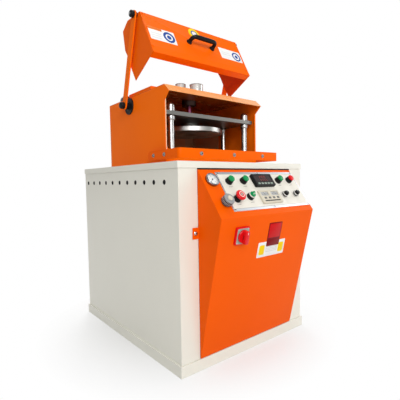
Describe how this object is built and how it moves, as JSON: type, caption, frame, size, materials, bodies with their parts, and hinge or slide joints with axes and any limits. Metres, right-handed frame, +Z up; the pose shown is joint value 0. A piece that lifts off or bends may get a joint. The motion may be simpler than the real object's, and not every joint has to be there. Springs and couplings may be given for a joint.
{
  "type": "centrifugal casting machine",
  "caption": "Front-loading spin caster: cabinet with wedge console, casting chamber with swinging hood, lifting spin table, clamp disc, rear fan and mains cord.",
  "frame": {"origin": "on the floor, at the middle of the plinth's underside", "axes": "front faces -Y, +X is to the right seen from the front, +Z is up"},
  "size_m": [0.698, 1.1205, 1.401],
  "materials": {
    "white_paint": "gloss",
    "orange_paint": "gloss",
    "black_plastic": "satin",
    "bright_steel": "satin",
    "chrome": "polished",
    "plate_aluminium": "satin",
    "cord_rubber": "matte",
    "plug_white": "satin",
    "green_plastic": "gloss",
    "red_plastic": "gloss",
    "smoke_plastic": "gloss",
    "beige_plastic": "satin",
    "black_steel": "satin",
    "dark_iron": "satin",
    "cylinder_aluminium": "satin"
  },
  "bodies": {
    "cabinet": {"plinth": "white_paint", "cabinet_frame": "white_paint", "left_side_panel": "white_paint", "right_side_panel": "white_paint", "lid": "white_paint", "rear_panel": "orange_paint", "body_screws": "chrome", "fan_frame": "black_plastic", "fan_guard": "chrome", "cable_gland": "black_plastic", "mains_cord": "cord_rubber", "mains_cord_coil": "cord_rubber", "plug_cord": "cord_rubber", "mains_plug": "plug_white", "chamber_shell": "orange_paint", "chamber_cover": "white_paint", "chamber_roof": "orange_paint", "roof_plate": "orange_paint", "roof_cups": "bright_steel", "apron": "orange_paint", "columns": "bright_steel", "yoke_plate": "black_steel", "pour_tube": "bright_steel", "spindle_housing": "dark_iron", "drive_belt": "cord_rubber", "motor": "dark_iron", "lift_cylinder": "cylinder_aluminium", "hood_pivots": "black_plastic", "air_pipe": "chrome", "air_valve": "black_plastic"},
    "console": {"console_shell": "orange_paint", "console_seal": "cord_rubber", "instrument_plate": "plate_aluminium", "console_screws": "chrome", "gauge_case": "chrome", "control_bodies": "black_plastic", "display_unit": "black_plastic", "timer_module": "beige_plastic", "main_switch_body": "red_plastic"},
    "hood_arms": {"hood_arms": "orange_paint", "arm_knobs": "black_plastic"},
    "hood": {"hood_shell": "orange_paint", "hood_handle": "black_steel"},
    "lift": {"lift_rod": "bright_steel"},
    "table": {"mould_table": "bright_steel"},
    "fan_rotor": {"fan_rotor": "black_plastic"},
    "spindle_pulley": {"spindle_pulley": "dark_iron"},
    "motor_pulley": {"motor_pulley": "dark_iron"},
    "clamp_disc": {"clamp_disc": "bright_steel"},
    "gauge_needle": {"gauge_needle": "black_plastic"},
    "green_button_1": {"green_button_1": "green_plastic"},
    "green_button_2": {"green_button_2": "green_plastic"},
    "green_button_3": {"green_button_3": "green_plastic"},
    "red_button": {"red_button": "red_plastic"},
    "selector_knob": {"selector_knob": "black_plastic"},
    "estop_button": {"estop_button": "red_plastic"},
    "speed_knob": {"speed_knob": "black_plastic"},
    "time_knob": {"time_knob": "black_plastic"},
    "regulator_knob": {"regulator_knob": "smoke_plastic"},
    "main_switch_handle": {"main_switch_handle": "red_plastic"}
  },
  "joints": [
    {"name": "hood_swing", "type": "hinge", "parent": "cabinet", "child": "hood_arms", "pos_m": [0, 0.064, 1.026], "axis": [1, 0, 0], "range_deg": [0, 72]},
    {"name": "hood_tilt", "type": "hinge", "parent": "hood_arms", "child": "hood", "pos_m": [0, -0.0441, 1.38404], "axis": [1, 0, 0], "range_deg": [-44.7, 0]},
    {"name": "table_lift", "type": "slide", "parent": "cabinet", "child": "lift", "axis": [0, 0, 1], "range_m": [0, 0.09]},
    {"name": "table_spin", "type": "hinge", "parent": "lift", "child": "table", "pos_m": [0, -0.035, 0.8], "axis": [0, 0, 1], "continuous": true},
    {"name": "spindle_pulley_spin", "type": "hinge", "parent": "cabinet", "child": "spindle_pulley", "pos_m": [0, -0.035, 0.585], "axis": [0, 0, 1], "continuous": true},
    {"name": "motor_pulley_spin", "type": "hinge", "parent": "cabinet", "child": "motor_pulley", "pos_m": [0.19, 0.09, 0.585], "axis": [0, 0, 1], "continuous": true},
    {"name": "clamp_disc_spin", "type": "hinge", "parent": "cabinet", "child": "clamp_disc", "pos_m": [0, -0.035, 0.915], "axis": [0, 0, 1], "continuous": true},
    {"name": "fan_spin", "type": "hinge", "parent": "cabinet", "child": "fan_rotor", "pos_m": [0.004, 0.39, 0.49], "axis": [0, 1, 0], "continuous": true},
    {"name": "console_door", "type": "hinge", "parent": "cabinet", "child": "console", "pos_m": [0.262, -0.421, 0.4], "axis": [0, 0, 1], "range_deg": [0, 85]},
    {"name": "green_button_1_press", "type": "slide", "parent": "console", "child": "green_button_1", "axis": [0, 0.8085, -0.5885], "range_m": [0, 0.004], "stiffness_N_per_m": 400},
    {"name": "green_button_2_press", "type": "slide", "parent": "console", "child": "green_button_2", "axis": [0, 0.8085, -0.5885], "range_m": [0, 0.004], "stiffness_N_per_m": 400},
    {"name": "green_button_3_press", "type": "slide", "parent": "console", "child": "green_button_3", "axis": [0, 0.8085, -0.5885], "range_m": [0, 0.004], "stiffness_N_per_m": 400},
    {"name": "red_button_press", "type": "slide", "parent": "console", "child": "red_button", "axis": [0, 0.8085, -0.5885], "range_m": [0, 0.004], "stiffness_N_per_m": 400},
    {"name": "estop_press", "type": "slide", "parent": "console", "child": "estop_button", "axis": [0, 0.8085, -0.5885], "range_m": [0, 0.005], "stiffness_N_per_m": 600},
    {"name": "selector_turn", "type": "hinge", "parent": "console", "child": "selector_knob", "pos_m": [-0.078, -0.49409, 0.62108], "axis": [0, -0.8085, 0.5885], "range_deg": [-90, 0]},
    {"name": "speed_knob_turn", "type": "hinge", "parent": "console", "child": "speed_knob", "pos_m": [0.123, -0.49409, 0.62108], "axis": [0, -0.8085, 0.5885], "range_deg": [-270, 0]},
    {"name": "time_knob_turn", "type": "hinge", "parent": "console", "child": "time_knob", "pos_m": [0.194, -0.49409, 0.62108], "axis": [0, -0.8085, 0.5885], "range_deg": [-270, 0]},
    {"name": "regulator_turn", "type": "hinge", "parent": "console", "child": "regulator_knob", "pos_m": [-0.209, -0.5035, 0.60815], "axis": [0, -0.8085, 0.5885], "range_deg": [-360, 360]},
    {"name": "gauge_needle_turn", "type": "hinge", "parent": "console", "child": "gauge_needle", "pos_m": [-0.222, -0.4476, 0.68496], "axis": [0, -0.8085, 0.5885], "range_deg": [-270, 0], "stiffness_Nm_per_rad": 0.0005},
    {"name": "main_switch_turn", "type": "hinge", "parent": "console", "child": "main_switch_handle", "pos_m": [-0.157, -0.52477, 0.49275], "axis": [0, -0.9738, -0.2273], "range_deg": [-90, 0]}
  ],
  "couplings": [
    {"joint": "hood_tilt", "follows": "hood_swing", "ratio": -0.62},
    {"joint": "spindle_pulley_spin", "follows": "table_spin", "ratio": 1},
    {"joint": "motor_pulley_spin", "follows": "table_spin", "ratio": 1.62}
  ]
}
